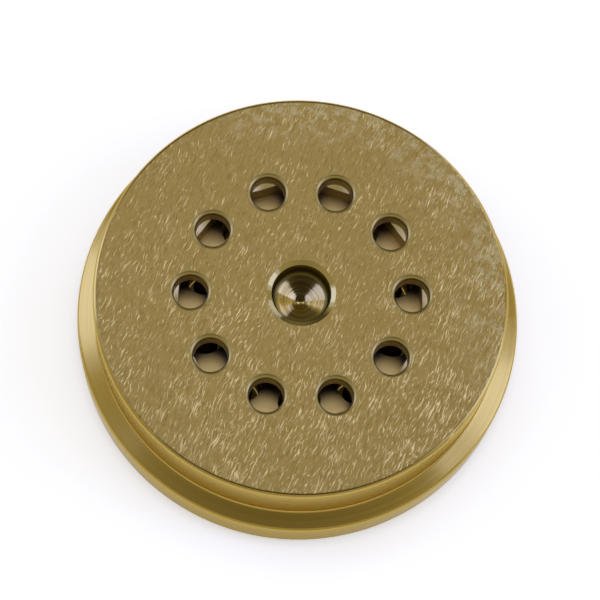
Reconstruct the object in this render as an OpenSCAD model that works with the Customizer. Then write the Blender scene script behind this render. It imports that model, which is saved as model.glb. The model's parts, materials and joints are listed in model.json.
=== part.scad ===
// Round brass die for an extruder that presses tubes of pasta.
// The outlet face lies on z = 0 and the inlet face looks up. The axis of the die is the z axis.
// Dough enters by a ring of inlets, spreads in a ring channel and leaves round the core pins.

/* [Body] */
// Overall height, outlet face to inlet face
body_h = 15; // [14:0.5:20]
// Diameter of the flange that the extruder's ring nut clamps
flange_d = 57; // [56:0.5:64]
// Height of the flange wall, up to the shoulder
flange_h = 5.5; // [4:0.1:6.5]
// Diameter of the spigot that enters the extruder's barrel
spigot_d = 52.2; // [50:0.2:54]
// Slope of the shoulder between flange and spigot, from level
shoulder_deg = 25; // [15:1:45]
// Rounding of the edge between flange wall and shoulder
flange_edge_r = 0.7; // [0.3:0.1:1]
// Fillet between shoulder and spigot wall
spigot_fillet_r = 0.4; // [0.2:0.1:0.8]
// Rounding of the edge between spigot wall and inlet face
face_edge_r = 0.6; // [0.2:0.1:1]
// Chamfer round the outlet face
foot_chamfer = 0.3; // [0.2:0.1:1]

/* [Inlets] */
// Number of inlets, and of tubes pressed at once
passages = 10; // [6:1:12]
// Diameter of the circle through the inlet centres
inlet_pcd = 27.8; // [27:0.2:29]
// Diameter of an inlet
inlet_d = 4.3; // [3.5:0.1:5.5]
// Rounding of the mouth of an inlet
inlet_edge_r = 0.6; // [0.2:0.05:0.8]
// Full angle of the drill point that leaves a ledge beside the ring channel
inlet_point_deg = 118; // [100:1:140]
// How far the full width of an inlet runs below the web
inlet_overrun = 0.1; // [0.05:0.05:0.3]
// Thickness of the web that the inlets pass through
web_t = 2.4; // [2.2:0.1:6]

/* [Auger seat] */
// Diameter of the blind hole that centres the tip of the auger
seat_d = 7.5; // [5:0.1:9]
// Straight wall of the seat, below its chamfer
seat_wall = 1.3; // [0.8:0.05:1.6]
// Chamfer round the mouth of the seat
seat_chamfer = 0.6; // [0.3:0.05:1]
// Fillet between the wall and the drilled point
seat_corner_r = 1; // [0.4:0.1:1.4]
// Full angle of the drilled point
seat_point_deg = 135; // [110:1:150]

/* [Dough channel] */
// Outer diameter of the ring channel
channel_d = 30.9; // [30.7:0.1:31.8]
// Height of the ring channel
channel_h = 3.2; // [2:0.1:4]
// Diameter of the hub inside the ring channel
hub_d = 19.2; // [16:0.2:19.6]

/* [Outlet plate] */
// Diameter of the plate that closes the die from the outlet side
plate_d = 42; // [38:1:44]
// Radial clearance of the plate in its pocket
plate_fit = 0.02; // [0.01:0.01:0.05]
// Broken edges of the plate and of the mouth of its pocket
plate_edge = 0.3; // [0.1:0.1:0.5]
// Diameter of the circle through the outlet centres
outlet_pcd = 25.2; // [24.8:0.1:25.4]
// Diameter of an outlet where the dough enters it
entry_d = 5.4; // [5.2:0.1:5.6]
// Diameter of an outlet where the tube leaves it
outlet_d = 5; // [4.2:0.1:5.1]
// Length of the narrow land of an outlet
outlet_land = 3; // [2:0.1:4.5]
// Slope of the step from entry to land, from level
outlet_step_deg = 30; // [10:5:60]

/* [Core pins] */
// Diameter of the tip, which is the bore of the tube
pin_tip_d = 3.2; // [2.8:0.1:3.8]
// Length of the tip
pin_tip_l = 4.5; // [3:0.1:5.5]
// Diameter of the neck between tip and collar
pin_neck_d = 2.6; // [2:0.1:2.8]
// Slope of the cone from tip to neck, from level
pin_cone_deg = 60; // [45:5:75]
// Diameter of the collar that seats under the web
pin_collar_d = 4; // [3.4:0.1:4.4]
// Height of the collar
pin_collar_h = 0.8; // [0.5:0.1:1.5]
// Diameter of the root that is pressed into the web
pin_root_d = 2.4; // [2:0.1:2.6]
// Length of the root
pin_root_l = 1.5; // [1.2:0.1:1.9]
// Broken edge at the upper end of the root
pin_root_edge = 0.2; // [0.1:0.05:0.4]
// Radial clearance of the root in its socket
pin_fit = 0.01; // [0.01:0.01:0.03]
// Space left above the root in its socket
socket_space = 0.2; // [0.1:0.05:0.4]

/* [Hidden] */
$fn = 96;

// Colour of polished and sanded brass
brass = [0.71, 0.60, 0.34];
// Colour of the pins, a little paler
pin_brass = [0.78, 0.68, 0.42];
// Overlap that lets a cut pass clean through a face
through = 1;

// Turned outline of the body
flange_r = flange_d / 2;
spigot_r = spigot_d / 2;
shoulder_top = flange_h + (flange_r - spigot_r) * tan(shoulder_deg);
pocket_r = plate_d / 2;
ceiling_z = body_h - web_t;
channel_z = ceiling_z - channel_h;
channel_r = channel_d / 2;
hub_r = hub_d / 2;
inlet_r = inlet_d / 2;
inlet_point_z = ceiling_z - inlet_overrun;
inlet_tip_z = inlet_point_z - inlet_r * tan(90 - inlet_point_deg / 2);
seat_r = seat_d / 2;
seat_slope_deg = 90 - seat_point_deg / 2;
seat_corner_reach = seat_corner_r / tan((90 + seat_slope_deg) / 2);
seat_point_z = body_h - seat_chamfer - seat_wall - seat_corner_reach;
seat_tip_z = seat_point_z - seat_r * tan(seat_slope_deg);

// Turned outline of the plate and its outlets
plate_r = pocket_r - plate_fit;
entry_r = entry_d / 2;
outlet_r = outlet_d / 2;
outlet_step_z = outlet_land + (entry_r - outlet_r) * tan(outlet_step_deg);

// Turned outline of a core pin
pin_tip_r = pin_tip_d / 2;
pin_neck_r = pin_neck_d / 2;
pin_root_r = pin_root_d / 2;
pin_neck_z = pin_tip_l + (pin_tip_r - pin_neck_r) * tan(pin_cone_deg);
pin_collar_z = ceiling_z - pin_collar_h;
pin_top_z = ceiling_z + pin_root_l;

// Angle from one passage to the next. The outlets stand midway between the inlets.
pitch_deg = 360 / passages;
outlet_phase_deg = pitch_deg / 2;

// Point at an angle and a distance from the origin
function polar(deg, r) = r * [cos(deg), sin(deg)];

// Copies of a shape on a circle, one for each passage
module on_circle(pcd, phase_deg) {
    for (i = [0 : passages - 1])
        rotate([0, 0, phase_deg + i * pitch_deg])
            translate([pcd / 2, 0, 0])
                children();
}

// Area between a sharp corner and an arc that touches both of its sides.
// The sides leave the corner at the angles side_a and side_b.
module corner_area(corner, side_a, side_b, r) {
    half = abs(side_b - side_a) / 2;
    reach = r / tan(half);
    centre = corner + polar((side_a + side_b) / 2, r / sin(half));
    difference() {
        polygon([corner, corner + polar(side_a, reach), centre, corner + polar(side_b, reach)]);
        translate(centre)
            circle(r);
    }
}

// Half section of the body: flange, shoulder and spigot outside, pocket, ring channel and auger seat inside
module body_section() {
    flange_corner = [flange_r, flange_h];
    spigot_corner = [spigot_r, shoulder_top];
    face_corner = [spigot_r, body_h];
    seat_corner = [seat_r, seat_point_z];
    difference() {
        polygon([
            [pocket_r + plate_edge, 0],
            [flange_r - foot_chamfer, 0],
            [flange_r, foot_chamfer],
            flange_corner,
            spigot_corner,
            face_corner,
            [seat_r + seat_chamfer, body_h],
            [seat_r, body_h - seat_chamfer],
            seat_corner,
            [0, seat_tip_z],
            [0, channel_z],
            [hub_r, channel_z],
            [hub_r, ceiling_z],
            [channel_r, ceiling_z],
            [channel_r, channel_z],
            [pocket_r, channel_z],
            [pocket_r, plate_edge]
        ]);
        corner_area(flange_corner, 180 - shoulder_deg, 270, flange_edge_r);
        corner_area(face_corner, 180, 270, face_edge_r);
    }
    corner_area(spigot_corner, -shoulder_deg, 90, spigot_fillet_r);
    corner_area(seat_corner, 90, 180 + seat_slope_deg, seat_corner_r);
}

// Cutter for one drilled inlet with its rounded mouth, on the z axis
module inlet_cut() {
    mouth_r = inlet_r + inlet_edge_r;
    rotate_extrude() {
        polygon([
            [0, inlet_tip_z],
            [inlet_r, inlet_point_z],
            [inlet_r, body_h],
            [mouth_r, body_h],
            [mouth_r, body_h + through],
            [0, body_h + through]
        ]);
        corner_area([inlet_r, body_h], -90, 0, inlet_edge_r);
    }
}

// Cutter for the blind socket of one core pin, on the z axis
module socket_cut() {
    translate([0, 0, ceiling_z - through])
        cylinder(r = pin_root_r + pin_fit, h = pin_root_l + socket_space + through);
}

// Cutter for one stepped outlet, on the z axis
module outlet_cut() {
    rotate_extrude()
        polygon([
            [0, -through],
            [outlet_r, -through],
            [outlet_r, outlet_land],
            [entry_r, outlet_step_z],
            [entry_r, channel_z + through],
            [0, channel_z + through]
        ]);
}

// Turned body with its inlets and the sockets of the core pins
module die_body() {
    color(brass)
        difference() {
            rotate_extrude()
                body_section();
            on_circle(inlet_pcd, 0)
                inlet_cut();
            on_circle(outlet_pcd, outlet_phase_deg)
                socket_cut();
        }
}

// Plate pressed in from the outlet side. It seats on the floor of its pocket and on the end of the hub.
module outlet_plate() {
    color(brass)
        difference() {
            rotate_extrude()
                polygon([
                    [0, 0],
                    [plate_r - plate_edge, 0],
                    [plate_r, plate_edge],
                    [plate_r, channel_z - plate_edge],
                    [plate_r - plate_edge, channel_z],
                    [0, channel_z]
                ]);
            on_circle(outlet_pcd, outlet_phase_deg)
                outlet_cut();
        }
}

// Turned core pin number i, with its tip flush with the outlet face
module core_pin(i) {
    color(pin_brass)
        rotate([0, 0, outlet_phase_deg + (i - 1) * pitch_deg])
            translate([outlet_pcd / 2, 0, 0])
                rotate_extrude()
                    polygon([
                        [0, 0],
                        [pin_tip_r, 0],
                        [pin_tip_r, pin_tip_l],
                        [pin_neck_r, pin_neck_z],
                        [pin_neck_r, pin_collar_z],
                        [pin_collar_d / 2, pin_collar_z],
                        [pin_collar_d / 2, ceiling_z],
                        [pin_root_r, ceiling_z],
                        [pin_root_r, pin_top_z - pin_root_edge],
                        [pin_root_r - pin_root_edge, pin_top_z],
                        [0, pin_top_z]
                    ]);
}

die_body();
outlet_plate();
for (i = [1 : passages])
    core_pin(i);
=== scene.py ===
import json
import math

import bpy
import numpy as np
from mathutils import Matrix, Vector

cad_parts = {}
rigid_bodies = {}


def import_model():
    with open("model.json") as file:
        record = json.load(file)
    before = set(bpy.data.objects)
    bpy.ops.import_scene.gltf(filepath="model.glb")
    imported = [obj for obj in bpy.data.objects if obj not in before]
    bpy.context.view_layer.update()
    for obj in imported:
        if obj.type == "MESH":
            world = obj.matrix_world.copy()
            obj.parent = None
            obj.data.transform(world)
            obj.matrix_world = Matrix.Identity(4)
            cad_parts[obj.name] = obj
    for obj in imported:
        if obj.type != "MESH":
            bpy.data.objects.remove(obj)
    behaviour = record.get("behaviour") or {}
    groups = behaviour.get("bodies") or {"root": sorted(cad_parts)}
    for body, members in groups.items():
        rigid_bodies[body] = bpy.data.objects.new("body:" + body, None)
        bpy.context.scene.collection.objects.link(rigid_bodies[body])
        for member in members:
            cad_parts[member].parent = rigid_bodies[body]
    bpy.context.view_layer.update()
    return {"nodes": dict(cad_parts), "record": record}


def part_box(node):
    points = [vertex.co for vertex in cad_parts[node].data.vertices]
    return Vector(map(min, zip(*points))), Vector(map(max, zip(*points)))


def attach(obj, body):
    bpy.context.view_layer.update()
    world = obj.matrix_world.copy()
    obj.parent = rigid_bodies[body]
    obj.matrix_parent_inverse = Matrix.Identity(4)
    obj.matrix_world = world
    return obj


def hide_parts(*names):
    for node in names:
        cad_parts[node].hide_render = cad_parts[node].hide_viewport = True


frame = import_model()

mm = 0.001
nodes = frame["nodes"]
mounts = {mount["name"]: mount for mount in frame["record"]["mounts"]}

# heights and radii of the die in millimetres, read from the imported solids
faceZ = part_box("die_body")[1].z / mm
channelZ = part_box("outlet_plate")[1].z / mm  # floor of the ring channel
spigotR = mounts["spigot"]["dims"]["r_mm"]
seatR = mounts["auger_seat"]["dims"]["r_mm"]
print("die: face at", round(faceZ, 2), "mm, channel floor at", round(channelZ, 2), "mm")


# an output socket that works in Python expressions: each operator adds one Math node
class Wire:
    def __init__(self, tree, socket):
        self.tree = tree
        self.socket = socket

    # any node: its settings first, then the values or links of its sockets
    def node(self, kind, settings, inputs, out=0):
        made = self.tree.nodes.new(kind)
        for name, value in settings.items():
            setattr(made, name, value)
        for name, value in inputs.items():
            if isinstance(value, Wire):
                self.tree.links.new(value.socket, made.inputs[name])
            else:
                made.inputs[name].default_value = value
        return Wire(self.tree, made.outputs[out])

    # one Math node
    def math(self, operation, first, second=0.0):
        return self.node("ShaderNodeMath", {"operation": operation}, {0: first, 1: second})

    def __add__(self, other):
        return self.math("ADD", self, other)

    def __sub__(self, other):
        return self.math("SUBTRACT", self, other)

    def __rsub__(self, other):
        return self.math("SUBTRACT", other, self)

    def __mul__(self, other):
        return self.math("MULTIPLY", self, other)

    def __pow__(self, other):
        return self.math("POWER", self, other)

    __radd__ = __add__
    __rmul__ = __mul__

    # 0 below low, 1 above high, smooth between them (low above high turns it round)
    def rise(self, low, high):
        ends = {"Value": self, "From Min": low, "From Max": high, "To Min": 0.0, "To Max": 1.0}
        return self.node("ShaderNodeMapRange", {"interpolation_type": "SMOOTHSTEP"}, ends)

    # a vector of three values
    def at(self, x, y, z):
        return self.node("ShaderNodeCombineXYZ", {}, {"X": x, "Y": y, "Z": z})

    # the three values of a vector
    def parts(self):
        split = self.node("ShaderNodeSeparateXYZ", {}, {"Vector": self})
        return [Wire(self.tree, socket) for socket in split.socket.node.outputs]

    # noise from 0 to 1, with its scale per unit of the place
    def noise(self, scale, detail=2.0, roughness=0.5):
        sizes = {"Vector": self, "Scale": scale, "Detail": detail, "Roughness": roughness}
        return self.node("ShaderNodeTexNoise", {}, sizes)

    # this mask lays the second colour over the first
    def over(self, first, second):
        return self.node("ShaderNodeMix", {"data_type": "RGBA"}, {0: self, 6: first, 7: second}, out=2)


# a material, its Principled shader and the object's own coordinates in millimetres
def startFinish(name, metallic=1.0, tint=(1, 1, 1, 1)):
    material = bpy.data.materials.new(name)
    material.use_nodes = True
    tree = material.node_tree
    shader = tree.nodes["Principled BSDF"]
    shader.inputs["Metallic"].default_value = metallic
    shader.inputs["Specular Tint"].default_value = tint
    coords = Wire(tree, tree.nodes.new("ShaderNodeTexCoord").outputs["Object"])
    scaled = coords.node("ShaderNodeVectorMath", {"operation": "SCALE"}, {0: coords, "Scale": 1 / mm})
    return material, shader, scaled


# the wire drives the shader's socket of that name
def link(wire, shader, name):
    wire.tree.links.new(wire.socket, shader.inputs[name])


# bump: the heights are in millimetres
def relief(heights):
    sizes = {"Height": heights, "Distance": mm, "Strength": 1.0}
    return heights.node("ShaderNodeBump", {}, sizes, out="Normal")


# one mask for each named pair of ends
def maskEach(wire, ends):
    return {name: wire.rise(*pair) for name, pair in ends.items()}


# the base value, and each wire times its own amount
def addUp(amounts, wires):
    total = amounts["base"]
    for name, wire in wires.items():
        total = total + wire * amounts[name]
    return total


# distance from the die's axis, the angle round it and the height
def roundAxis(place):
    x, y, z = place.parts()
    radius = (x * x + y * y) ** 0.5
    angle = radius.math("ARCTAN2", y, x)
    return radius, angle, z


# where a slope meets a wall, the solid keeps faces of no thickness between a corner and its rounding:
# the corner in mm from the axis and up, the slope from level, the way along it to the rounding,
# and the rounding's radius in mm
corners = {
    "flange": {"at": (28.5, 5.5), "slopeDeg": 25.0, "wayDeg": 155.0, "round": 0.7},
    "spigot": {"at": (26.1, 6.619), "slopeDeg": 25.0, "wayDeg": -25.0, "round": 0.4},
    "seat": {"at": (3.75, 12.432), "slopeDeg": 22.5, "wayDeg": 202.5, "round": 1.0},
}
seatEdge = {"wide": 0.6, "deg": 32.0}  # chamfer of the seat: mm across and its slope from level
near = 0.03  # mm, how close a point lies to the place it is known by
steep = 0.9  # faces with a normal that points up less than this belong to the chamfer


# points of the solid's mesh in mm, its triangles and the normals of their corners
def readMesh(mesh):
    points = np.empty(len(mesh.vertices) * 3)
    mesh.vertices.foreach_get("co", points)
    triangles = np.empty(len(mesh.loops), dtype=int)
    mesh.loops.foreach_get("vertex_index", triangles)
    normals = np.empty(len(mesh.loops) * 3)
    mesh.corner_normals.foreach_get("vector", normals)
    return points.reshape(-1, 3) / mm, triangles.reshape(-1, 3), normals.reshape(-1, 3, 3)


# each sharp corner's points slide along the slope to the nearest points where the rounding begins,
# which closes the thin faces
def foldCorners(points):
    radius = np.hypot(points[:, 0], points[:, 1])
    moved = np.zeros(len(points), dtype=bool)
    for plan in corners.values():
        cornerR, cornerZ = plan["at"]
        way = math.radians(plan["wayDeg"])
        reach = plan["round"] / math.tan(math.radians((90 + plan["slopeDeg"]) / 2))
        hit = (abs(radius - cornerR) < near) & (abs(points[:, 2] - cornerZ) < near)
        startR = cornerR + reach * math.cos(way)
        startZ = cornerZ + reach * math.sin(way)
        starts = points[(abs(radius - startR) < near) & (abs(points[:, 2] - startZ) < near)]
        if hit.any() and len(starts):
            slid = points[hit] * (startR / cornerR, startR / cornerR, 0) + (0, 0, startZ)
            gaps = np.linalg.norm(slid[:, None] - starts[None], axis=2)
            points[hit] = starts[gaps.argmin(axis=1)]
            moved |= hit
    return moved


# the seat's chamfer gets its shallower slope; its normals lean inward by the slope
def slopeSeatEdge(points, triangles, normals):
    wide, slope = seatEdge["wide"], math.radians(seatEdge["deg"])
    radius = np.hypot(points[:, 0], points[:, 1])
    inward = seatR + wide - radius
    hit = (inward > -near) & (inward < wide + near) & (abs(faceZ - inward - points[:, 2]) < near)
    faces = hit[triangles].all(axis=1)
    faces &= normals[:, :, 2].min(axis=1) < steep
    points[hit, 2] = faceZ - inward[hit] * math.tan(slope)
    rim = triangles[faces]
    normals[faces, :, :2] = -math.sin(slope) * points[rim][:, :, :2] / radius[rim][:, :, None]
    normals[faces, :, 2] = math.cos(slope)


# the body as a new piece: the solid's mesh, welded, with its corners folded
def makeBody(node):
    points, triangles, normals = readMesh(node.data)
    slopeSeatEdge(points, triangles, normals)
    moved = foldCorners(points)
    radius = np.hypot(points[:, 0], points[:, 1])
    thin = np.ptp(radius[triangles], axis=1) + np.ptp(points[triangles, 2], axis=1) < near
    keep = ~(thin & moved[triangles].any(axis=1))
    places, welded = np.unique(points.round(4), axis=0, return_inverse=True)
    triangles = welded.reshape(-1)[triangles]
    a, b, c = triangles.T
    keep &= (a != b) & (b != c) & (c != a)
    mesh = bpy.data.meshes.new("turned_body")
    mesh.from_pydata((places * mm).tolist(), [], triangles[keep].tolist())
    mesh.shade_smooth()
    mesh.normals_split_custom_set(normals[keep].reshape(-1, 3).tolist())
    body = bpy.data.objects.new("turned_body", mesh)
    bpy.context.scene.collection.objects.link(body)
    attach(body, "root")
    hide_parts("die_body")
    print("body:", int(keep.sum()), "triangles,", int((~keep).sum()), "thin ones left out")
    return body


inlets = {
    "count": 10,
    "ringR": 13.9,              # mm, circle through their centres
    "mouthR": (2.95, 2.8),      # mm, just outside the rounded mouth; its finish begins and is full
    "ledgeR": (15.5, 15.55),    # mm from the die's axis; the drill point leaves a ledge outside this
    "ledgeZ": (12.6, 12.5),     # mm, just above the ledge
}


# distance from the nearest inlet's axis: the angle is folded into one inlet's share of the circle
def roundInlet(radius, angle):
    share = 2 * math.pi / inlets["count"]
    turns = angle.math("ROUND", angle * (1 / share))
    off = angle - turns * share
    across = radius * off.math("SINE", off)
    outward = radius * off.math("COSINE", off) - inlets["ringR"]
    return (across * across + outward * outward) ** 0.5


heightShare = 0.7  # of the height in the place along the profile, so that walls and slopes get lines too


# tool lines of a lathe: noise that is fine along the profile and goes slowly round a small circle
def latheLines(place, finePerMm, circle):
    radius, angle, z = roundAxis(place)
    along = (radius - z * heightShare) * finePerMm
    onCircle = [angle.math(operation, angle) * circle for operation in ("COSINE", "SINE")]
    return place.at(along, *onCircle).noise(1.0, 3.0, 0.6)


sanding = {
    "strokeDeg": 64.0,          # direction of the strokes from +X
    "strokes": (                # length and spacing in mm, degrees turned, level above which one shows
        (2.6, 0.20, 0.0, 0.655),
        (1.5, 0.18, 12.0, 0.66),
        (0.9, 0.17, -10.0, 0.665),
    ),
    "edge": 0.13,               # how softly a stroke begins
    "pits": (0.42, 0.26),       # levels at which a dark stroke begins and is full
    "bend": (0.35, 0.1, 1.0),   # of the whole field: mm sideways, bends per mm, detail
    "waver": (0.13, 0.8, 2.0),  # of one stroke
    "patchPerMm": 0.2,
    "patch": (0.36, 0.64),      # levels at which a patch of denser strokes begins and is full
    "front": (0.005, -0.014),   # per mm of x and of y; the strokes are denser towards the front
    "frontEnds": (-0.4, 0.3),
    "rim": (18.0, 25.0),        # mm from the axis; a little denser towards the rim
    "denser": {"base": -0.26, "patches": 0.5, "front": 0.45, "rim": 0.1},
    "lift": 0.1,                # how far denser strokes are lifted towards their level
    "grain": (1.0, 0.16),       # mm, size of the fine grain along and across
    "grainShare": 0.25,         # of the strokes' depth
    "depth": 0.006,             # mm
}


# sideways stray in mm: noise keeps within about a quarter of its middle, so it is taken four times
def strayBy(place, wide, perMm, detail):
    return (place.noise(perMm, detail) - 0.5) * (4 * wide)


# one layer of strokes: noise stretched along the strokes, of which the tops are bright, partly as
# painted highlight, and the pits dark as painted shade
def strokeLayer(place, x, y, stray, plan, share):
    length, spacing, turned, level = plan
    along = math.radians(sanding["strokeDeg"] + turned)
    u = x * math.cos(along) + y * math.sin(along)
    w = y * math.cos(along) - x * math.sin(along) + stray
    streaks = place.at(u * (1 / length), w * (1 / spacing), turned).noise(1.0, detail=1.0)
    raised = streaks + share * sanding["lift"]
    return raised.rise(level, level + sanding["edge"]), streaks.rise(*sanding["pits"])


# the sanded face: bright strokes with painted highlights, dark ones between them as painted shade, and a
# fine grain
def sandStrokes(place):
    x, y = place.parts()[:2]
    stray = strayBy(place, *sanding["bend"]) + strayBy(place, *sanding["waver"])
    patches = place.noise(sanding["patchPerMm"], detail=3.0).rise(*sanding["patch"])
    perX, perY = sanding["front"]
    towardsFront = (x * perX + y * perY).rise(*sanding["frontEnds"])
    inner, outer = sanding["rim"]
    nearRim = (x * x + y * y).rise(inner ** 2, outer ** 2)
    share = addUp(sanding["denser"], {"patches": patches, "front": towardsFront, "rim": nearRim})
    layers = [strokeLayer(place, x, y, stray, plan, share) for plan in sanding["strokes"]]
    bright, dark = layers[0]
    for lit, shaded in layers[1:]:
        bright = lit.math("MAXIMUM", bright, lit)
        dark = shaded.math("MAXIMUM", dark, shaded)
    length, width = sanding["grain"]
    grain = place.at(x * (1 / width), y * (1 / length), 0.0).noise(1.0, roughness=0.6)
    return bright, dark * (1 - bright), grain


brass = {
    "olive": (0.355, 0.256, 0.083, 1),
    "tan": (0.41, 0.292, 0.104, 1),
    # the strokes' tops: partly the scratched brass's own lighter colour, partly painted highlight
    "stroke": (0.80, 0.66, 0.36, 1),
    # painted shade in the pits between the strokes
    "shade": (0.25, 0.172, 0.048, 1),
    # paler patches on the face near the rim, towards the back right
    "worn": (0.58, 0.49, 0.30, 1),
    "turned": (0.48, 0.352, 0.113, 1),
    "turnedDark": (0.42, 0.303, 0.088, 1),
    # painted light: the spigot's wall is paler than the rest of the turned brass, standing in for a
    # brighter reflection on it
    "spigot": (0.70, 0.60, 0.28, 1),
    # painted shade: the flange's lower wall is darker than the rest of the turned brass, standing in for
    # a dimmer reflection of the floor beside it
    "flange": (0.29, 0.193, 0.045, 1),
    "seat": (0.56, 0.43, 0.19, 1),
    "seatDark": (0.38, 0.27, 0.09, 1),
    # painted shade: the seat's wall, and darker still the rounding at its foot
    "seatWall": (0.25, 0.215, 0.07, 1),
    "seatRound": (0.14, 0.115, 0.035, 1),
    "chamfer": (0.39, 0.32, 0.14, 1),
    "mouth": (0.42, 0.33, 0.13, 1),
    # painted light: the bores and the ledges in the inlets are paler than the turned brass, standing in
    # for light that falls in through them
    "bore": (0.78, 0.66, 0.42, 1),
    "ledge": (0.78, 0.66, 0.37, 1),
    # painted light: the pool of light that falls through each inlet onto the channel floor
    "scoured": (0.52, 0.39, 0.19, 1),
    # painted shade: the channel floor outside those pools, the outlets, and the pins inside them
    "tarnish": (0.20, 0.15, 0.13, 1),
    "edgeTint": (0.88, 0.77, 0.45, 1),    # of reflections at a low angle
}


# of each pair, the first value is where a finish begins and the second where it is full
bodyPlan = {
    "below": {                  # mm under the inlet face
        "face": (0.03, 0.005),
        "bore": (0.5, 0.9),
        "spigotTop": (0.5, 0.7),
        "spigotFoot": (7.7, 7.3),
        "flange": (9.7, 10.1),
    },
    "fromSpigot": {             # mm outside the spigot's wall
        "worn": (-8.0, -1.5),
        "spigot": (-0.7, -0.1),
        "flange": (2.2, 2.35),
    },
    "fromSeat": {               # mm outside the seat's wall
        "seat": (1.0, 0.8),
        "chamfer": (0.005, 0.03),
        "round": (-0.03, -0.08),
        "cone": (-0.5, -0.75),
    },
    "wornSide": (4.0, 22.0),    # mm of x and y together
    "lines": (9.0, 0.5),        # tool lines per mm and the size of their circle
    "rings": (2.6, 0.3),        # the coarser ones in the seat
    "noise": {                  # per mm, detail and roughness
        "mottle": (0.4, 4.0, 0.6),
        "worn": (0.9, 5.0, 0.7),
    },
    "levels": {                 # of the noises and the tool lines
        "mottle": (0.34, 0.66),
        "grain": (0.35, 0.65),
        "worn": (0.46, 0.62),
        "lines": (0.3, 0.7),
        "rings": (0.35, 0.62),
    },
    "tan": {"base": 0.0, "mottle": 0.7, "grain": 0.3},
    "shadeMost": 0.8,
    "wornMost": 0.6,
    "faceRough": {"base": 0.42, "strokes": -0.06, "mottle": 0.04},
    "metalRough": {
        "base": 0.14,
        "lines": 0.07,
        "seat": -0.06,
        "inlet": 0.2,
        "bore": 0.06,
        "spigot": 0.08,
        "seatWall": 0.25,
    },
    "linesDeep": 0.0007,        # mm
    "ringsDeep": 0.025,         # mm
}


# the body: sanded inlet face, lathe-turned rim and seat, smooth mouths and duller passages, with painted
# light and shade on some of them
def bodyFinish():
    material, shader, place = startFinish("sanded_turned_brass", tint=brass["edgeTint"])
    radius, angle, z = roundAxis(place)
    x, y = place.parts()[:2]
    levels = bodyPlan["levels"]
    bright, dark, grain = sandStrokes(place)
    lines = latheLines(place, *bodyPlan["lines"])
    rings = latheLines(place, *bodyPlan["rings"])
    below = maskEach(faceZ - z, bodyPlan["below"])
    fromSpigot = maskEach(radius - spigotR, bodyPlan["fromSpigot"])
    fromSeat = maskEach(radius - seatR, bodyPlan["fromSeat"])
    onFace = below["face"]
    onSpigot = fromSpigot["spigot"] * below["spigotFoot"] * below["spigotTop"]
    inSeat, onCone = fromSeat["seat"], fromSeat["cone"]
    onChamfer = inSeat * fromSeat["chamfer"]
    inHole = roundInlet(radius, angle).rise(*inlets["mouthR"])
    inBore = inHole * below["bore"]
    # the face's colours, laid over one another: painted shade in the pits, strokes partly lit by painted
    # highlight, and paler patches near the rim
    mottle = place.noise(*bodyPlan["noise"]["mottle"]).rise(*levels["mottle"])
    tan = addUp(bodyPlan["tan"], {"mottle": mottle, "grain": grain.rise(*levels["grain"])})
    # paler patches near the rim, towards the back right
    worn = fromSpigot["worn"] * (x + y).rise(*bodyPlan["wornSide"])
    worn = worn * place.noise(*bodyPlan["noise"]["worn"]).rise(*levels["worn"]) * bodyPlan["wornMost"]
    face = tan.over(brass["olive"], brass["tan"])
    face = (dark * bodyPlan["shadeMost"]).over(face, brass["shade"])
    face = bright.over(face, brass["stroke"])
    face = worn.over(face, brass["worn"])
    # the colours of everything else
    metal = lines.rise(*levels["lines"]).over(brass["turnedDark"], brass["turned"])
    metal = inSeat.over(metal, rings.rise(*levels["rings"]).over(brass["seatDark"], brass["seat"]))
    coats = {
        # painted light: a paler spigot wall, standing in for a brighter reflection
        "spigot": onSpigot,
        # painted shade: a darker flange wall, standing in for a dimmer reflection of the floor
        "flange": fromSpigot["flange"] * below["flange"],
        # painted shade inside the seat: a darker wall, and a still darker rounding where the wall meets
        # the cone
        "seatWall": inSeat - onCone,
        "seatRound": inSeat * fromSeat["round"] - onCone,
        "chamfer": onChamfer,
        "mouth": inHole,
        # painted light: paler bores and ledges, standing in for light falling into the inlets
        "bore": inBore,
        "ledge": inHole * radius.rise(*inlets["ledgeR"]) * z.rise(*inlets["ledgeZ"]),
    }
    for name, mask in coats.items():
        metal = mask.over(metal, brass[name])
    link(onFace.over(metal, face), shader, "Base Color")
    rougher = {
        "lines": lines,
        "seat": inSeat,
        "inlet": inHole,
        "bore": inBore,
        "spigot": onSpigot,
        "seatWall": inSeat - onCone - onChamfer,
    }
    metalRough = addUp(bodyPlan["metalRough"], rougher)
    faceRough = addUp(bodyPlan["faceRough"], {"strokes": bright, "mottle": mottle})
    link(onFace * faceRough + (1 - onFace) * metalRough, shader, "Roughness")
    faceHeight = (bright + grain * sanding["grainShare"]) * sanding["depth"]
    metalHeight = lines * bodyPlan["linesDeep"] + onCone * rings * bodyPlan["ringsDeep"]
    link(relief(onFace * faceHeight + (1 - onFace) * metalHeight), shader, "Normal")
    return material


platePlan = {
    "dull": (0.3, 1.0),         # mm above the outlet face; above it the plate is duller and carries painted shade, with a painted pool of light under each inlet
    "scoured": (2.4, 1.4),      # mm from the nearest inlet's axis; a painted pool of light under each inlet, where light falls through it onto the channel floor
    "lines": (7.0, 0.4),        # tool lines per mm and the size of their circle
    "mottle": (0.5, 3.0),       # noise per mm and its detail
    "levels": (0.3, 0.7),       # of the mottle
    "rough": {"base": 0.2, "lines": 0.12, "within": 0.1},
    "linesDeep": 0.005,         # mm
}


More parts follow.
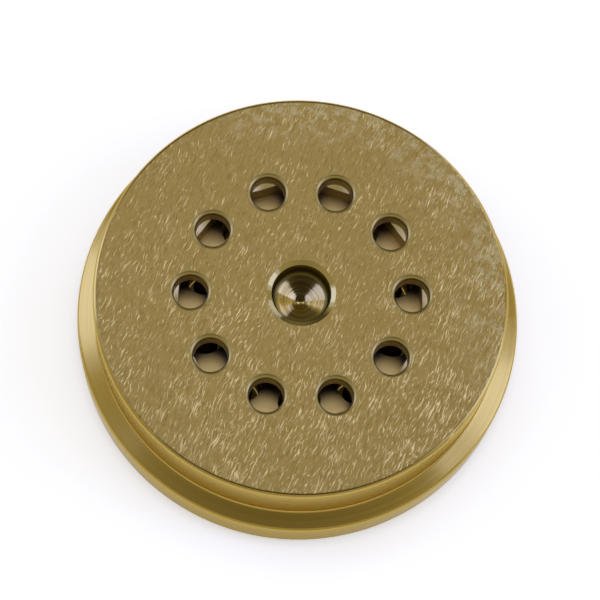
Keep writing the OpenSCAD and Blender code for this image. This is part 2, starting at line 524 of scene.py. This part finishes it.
# the outlet plate: turned in rings, duller in its outlets and on the side that lies in the channel, with
# painted shade there and a painted pool of light under each inlet
def plateFinish():
    material, shader, place = startFinish("turned_plate_brass", tint=brass["edgeTint"])
    radius, angle, z = roundAxis(place)
    lines = latheLines(place, *platePlan["lines"])
    mottle = place.noise(*platePlan["mottle"]).rise(*platePlan["levels"])
    within = z.rise(*platePlan["dull"])
    under = roundInlet(radius, angle).rise(*platePlan["scoured"])
    tone = mottle.over(brass["turnedDark"], brass["turned"])
    # painted light and shade: a lit pool under each inlet, darker elsewhere in the channel and the
    # outlets
    link(within.over(tone, under.over(brass["tarnish"], brass["scoured"])), shader, "Base Color")
    link(addUp(platePlan["rough"], {"lines": lines, "within": within}), shader, "Roughness")
    link(relief(lines * platePlan["linesDeep"]), shader, "Normal")
    return material


pinPlan = {
    "dull": (0.5, 2.0),         # mm above the outlet face; above it the pin is duller and painted darker as shade
    "perMm": (0.4, 0.4, 10.0),  # noise per mm of x, y and z, which makes rings along the pin
    "levels": (0.3, 0.7),       # of the rings
    "rough": {"base": 0.18, "rings": 0.12, "within": 0.2},
    "ringsDeep": 0.004,         # mm
}


# a core pin: bright at its end, duller above the outlet and painted darker there as shade, with fine
# rings along its length
def pinFinish():
    material, shader, place = startFinish("bright_pin_brass", tint=brass["edgeTint"])
    x, y, z = place.parts()
    perX, perY, perZ = pinPlan["perMm"]
    rings = place.at(x * perX, y * perY, z * perZ).noise(1.0)
    within = z.rise(*pinPlan["dull"])
    tone = rings.rise(*pinPlan["levels"]).over(brass["turnedDark"], brass["turned"])
    # painted shade: the pin is darker inside the outlet and the channel
    link(within.over(tone, brass["tarnish"]), shader, "Base Color")
    link(addUp(pinPlan["rough"], {"rings": rings, "within": within}), shader, "Roughness")
    link(relief(rings * pinPlan["ringsDeep"]), shader, "Normal")
    return material


# the piece shows this finish alone
def dress(node, material):
    node.data.materials.clear()
    node.data.materials.append(material)


pinMetal = pinFinish()
dress(makeBody(nodes["die_body"]), bodyFinish())
dress(nodes["outlet_plate"], plateFinish())
pins = [node for name, node in nodes.items() if name.startswith("core_pin_")]
for pin in pins:
    dress(pin, pinMetal)
print("brass finishes on the body, the plate and", len(pins), "pins")


floorPlan = {
    "size": 8.0,                    # metres across
    "below": 0.00002,               # metres under the outlet face, so that the two never share a plane
    "white": 0.88,                  # how much light it sends back
    "rough": 0.9,
    "glow": 0.5,                    # lifts it to the white of the background
    "glowFrom": (25.0, 30.0),       # mm from the axis; nearer, it has only the room's light
    "openTo": (27.3, 27.0),         # mm from the axis; inside, the outlet face sees the room below
    "openLength": (0.001, 0.0005),  # metres, for rays as short as from a face that lies on the floor
}
rayKinds = ("Is Camera Ray", "Is Glossy Ray", "Is Transmission Ray")


# the floor: one large sheet under the die, see-through from below so that the outlet face can be seen
def layFloor():
    half = floorPlan["size"] / 2
    u, v = np.meshgrid([-half, half], [-half, half])
    sheet = np.stack([u.ravel(), v.ravel(), np.full(4, -floorPlan["below"])], axis=1)
    mesh = bpy.data.meshes.new("floor")
    mesh.from_pydata(sheet.tolist(), [], [(0, 1, 3, 2)])
    floor = bpy.data.objects.new("floor", mesh)
    bpy.context.scene.collection.objects.link(floor)
    material, shader, place = startFinish("pale_floor", metallic=0.0)
    tree = material.node_tree
    white = floorPlan["white"]
    shader.inputs["Base Color"].default_value = (white, white, white, 1)
    shader.inputs["Roughness"].default_value = floorPlan["rough"]
    shader.inputs["Specular IOR Level"].default_value = 0.0
    radius = roundAxis(place)[0]
    rays = tree.nodes.new("ShaderNodeLightPath")
    direct, glossy, through = [Wire(tree, rays.outputs[name]) for name in rayKinds]
    # the glow shows to the camera and in reflections, and lights nothing
    seen = direct.math("MAXIMUM", direct, glossy.math("MAXIMUM", glossy, through))
    share = seen * radius.rise(*floorPlan["glowFrom"])
    lit = Wire(tree, shader.outputs[0])
    glow = lit.node("ShaderNodeEmission", {}, {"Color": (1, 1, 1, 1), "Strength": floorPlan["glow"]})
    glowing = lit.node("ShaderNodeAddShader", {}, {0: lit, 1: glow})
    pale = lit.node("ShaderNodeMixShader", {}, {0: share, 1: lit, 2: glowing})
    # it is clear from below, and for the face that lies on it
    behind = lit.node("ShaderNodeNewGeometry", {}, {}, out="Backfacing")
    close = Wire(tree, rays.outputs["Ray Length"]).rise(*floorPlan["openLength"])
    hidden = behind.math("MAXIMUM", behind, close * radius.rise(*floorPlan["openTo"]))
    clear = lit.node("ShaderNodeBsdfTransparent", {}, {})
    mixed = lit.node("ShaderNodeMixShader", {}, {0: hidden, 1: pale, 2: clear})
    tree.links.new(mixed.socket, tree.nodes["Material Output"].inputs["Surface"])
    mesh.materials.append(material)


layFloor()

# soft boxes round the die: degrees round and above, metres away, wide and tall, and how bright
boxes = {
    "left": {"around": 158, "above": 20, "away": 0.7, "wide": 0.30, "tall": 0.48, "bright": 0.7},
    "leftEdge": {"around": 156, "above": 21, "away": 0.75, "wide": 0.48, "tall": 0.64, "bright": 0.35},
    "upperLeft": {"around": 180, "above": 55, "away": 0.7, "wide": 0.42, "tall": 0.16, "bright": 0.75},
    "right": {"around": -6, "above": 20, "away": 0.7, "wide": 0.28, "tall": 0.5, "bright": 0.7},
    "rightEdge": {"around": -6, "above": 21, "away": 0.75, "wide": 0.52, "tall": 0.64, "bright": 0.35},
    "upperRight": {"around": -12, "above": 51, "away": 0.7, "wide": 0.34, "tall": 0.19, "bright": 1.0},
    "backRight": {"around": 46, "above": 17, "away": 0.7, "wide": 0.34, "tall": 0.5, "bright": 0.55},
    "ceiling": {"around": 90, "above": 72, "away": 0.65, "wide": 0.5, "tall": 0.5, "bright": 0.85},
}
boxTint = (0.76, 0.93, 2.0)  # colour of every box's light but the ceiling's, which is white


# direction from the die towards a place given by its angles, in degrees
def towards(around, above):
    a, e = math.radians(around), math.radians(above)
    return Vector((math.cos(a) * math.cos(e), math.sin(a) * math.cos(e), math.sin(e)))


# a rectangular lamp that faces the die; a lamp's watts are four times its area times its brightness
def hangBox(name, plan):
    lamp = bpy.data.lights.new("box_" + name, "AREA")
    lamp.shape = "RECTANGLE"
    lamp.size = plan["wide"]
    lamp.size_y = plan["tall"]
    lamp.energy = 4 * plan["wide"] * plan["tall"] * plan["bright"]
    lamp.color = (1, 1, 1) if name == "ceiling" else boxTint
    box = bpy.data.objects.new("box_" + name, lamp)
    outward = towards(plan["around"], plan["above"])
    box.location = outward * plan["away"]
    box.rotation_euler = outward.to_track_quat("Z", "Y").to_euler()
    box.visible_camera = False
    bpy.context.scene.collection.objects.link(box)


for name, plan in boxes.items():
    hangBox(name, plan)


room = {
    "pale": 0.62,
    "dim": 0.045,
    "paleTo": (0.9, 0.62),        # height of a ray's direction where the pale part begins and is full
    "behind": 92,                 # degrees from +X, the middle of the dark part behind the die
    "behindWide": (0.7, 0.9),     # cosine of the turn away from that middle
    "behindAbove": (0.08, 0.22),  # height of a ray's direction
    "behindDark": 0.85,           # share of the pale light that is missing there
    "tint": (1.03, 0.93, 0.55, 1),
}


# the room's brightness: pale up to some height, dim above, and dim behind the die
def paintRoom():
    world = bpy.data.worlds.new("room")
    world.use_nodes = True
    bpy.context.scene.world = world
    tree = world.node_tree
    ray = Wire(tree, tree.nodes.new("ShaderNodeTexCoord").outputs["Generated"])
    x, y, height = ray.parts()
    aim = towards(room["behind"], 0)
    flat = (x * x + y * y) ** 0.5
    behind = flat.math("DIVIDE", x * aim.x + y * aim.y, flat)
    hidden = behind.rise(*room["behindWide"]) * height.rise(*room["behindAbove"])
    haze = height.rise(*room["paleTo"]) * (1 - hidden * room["behindDark"])
    level = room["dim"] + haze * (room["pale"] - room["dim"])
    back = tree.nodes["Background"]
    tree.links.new(level.socket, back.inputs["Strength"])
    back.inputs["Color"].default_value = room["tint"]


paintRoom()
print("floor,", len(boxes), "soft boxes and the room")


camera = {
    "around": -97.94,      # degrees from +X
    "above": 72.615,
    "roll": -8.554,
    "away": 267.8,         # mm from the middle of the inlet face
    "lens": 128.4,         # mm
    "sensor": 36,          # mm across
    "nearest": 0.01,       # metres; nothing closer is drawn
    "aimRight": -0.194,    # mm from the middle of the face, in the picture's own directions
    "aimUp": -0.92,
}


# the camera stands where the photograph was taken from, high in front: its level directions are turned
# by the roll, and it aims a little beside the middle of the face
def placeCamera():
    back = towards(camera["around"], camera["above"])
    level = Vector((-back.y, back.x, 0)).normalized()
    upright = back.cross(level)
    roll = math.radians(camera["roll"])
    right = level * math.cos(roll) - upright * math.sin(roll)
    up = level * math.sin(roll) + upright * math.cos(roll)
    middle = Vector((0, 0, faceZ * mm))
    spot = middle + back * (camera["away"] * mm)
    aim = middle + (right * camera["aimRight"] + up * camera["aimUp"]) * mm
    depth = (spot - aim).normalized()
    across = up.cross(depth).normalized()
    upward = depth.cross(across)
    data = bpy.data.cameras.new("camera")
    data.lens = camera["lens"]
    data.sensor_width = camera["sensor"]
    data.clip_start = camera["nearest"]
    view = bpy.data.objects.new("camera", data)
    turn = Matrix((across, upward, depth)).transposed().to_4x4()
    view.matrix_world = Matrix.Translation(spot) @ turn
    bpy.context.scene.collection.objects.link(view)
    bpy.context.scene.camera = view


placeCamera()
bpy.context.scene.view_settings.view_transform = "Standard"
print("camera at", camera["above"], "degrees above the floor")
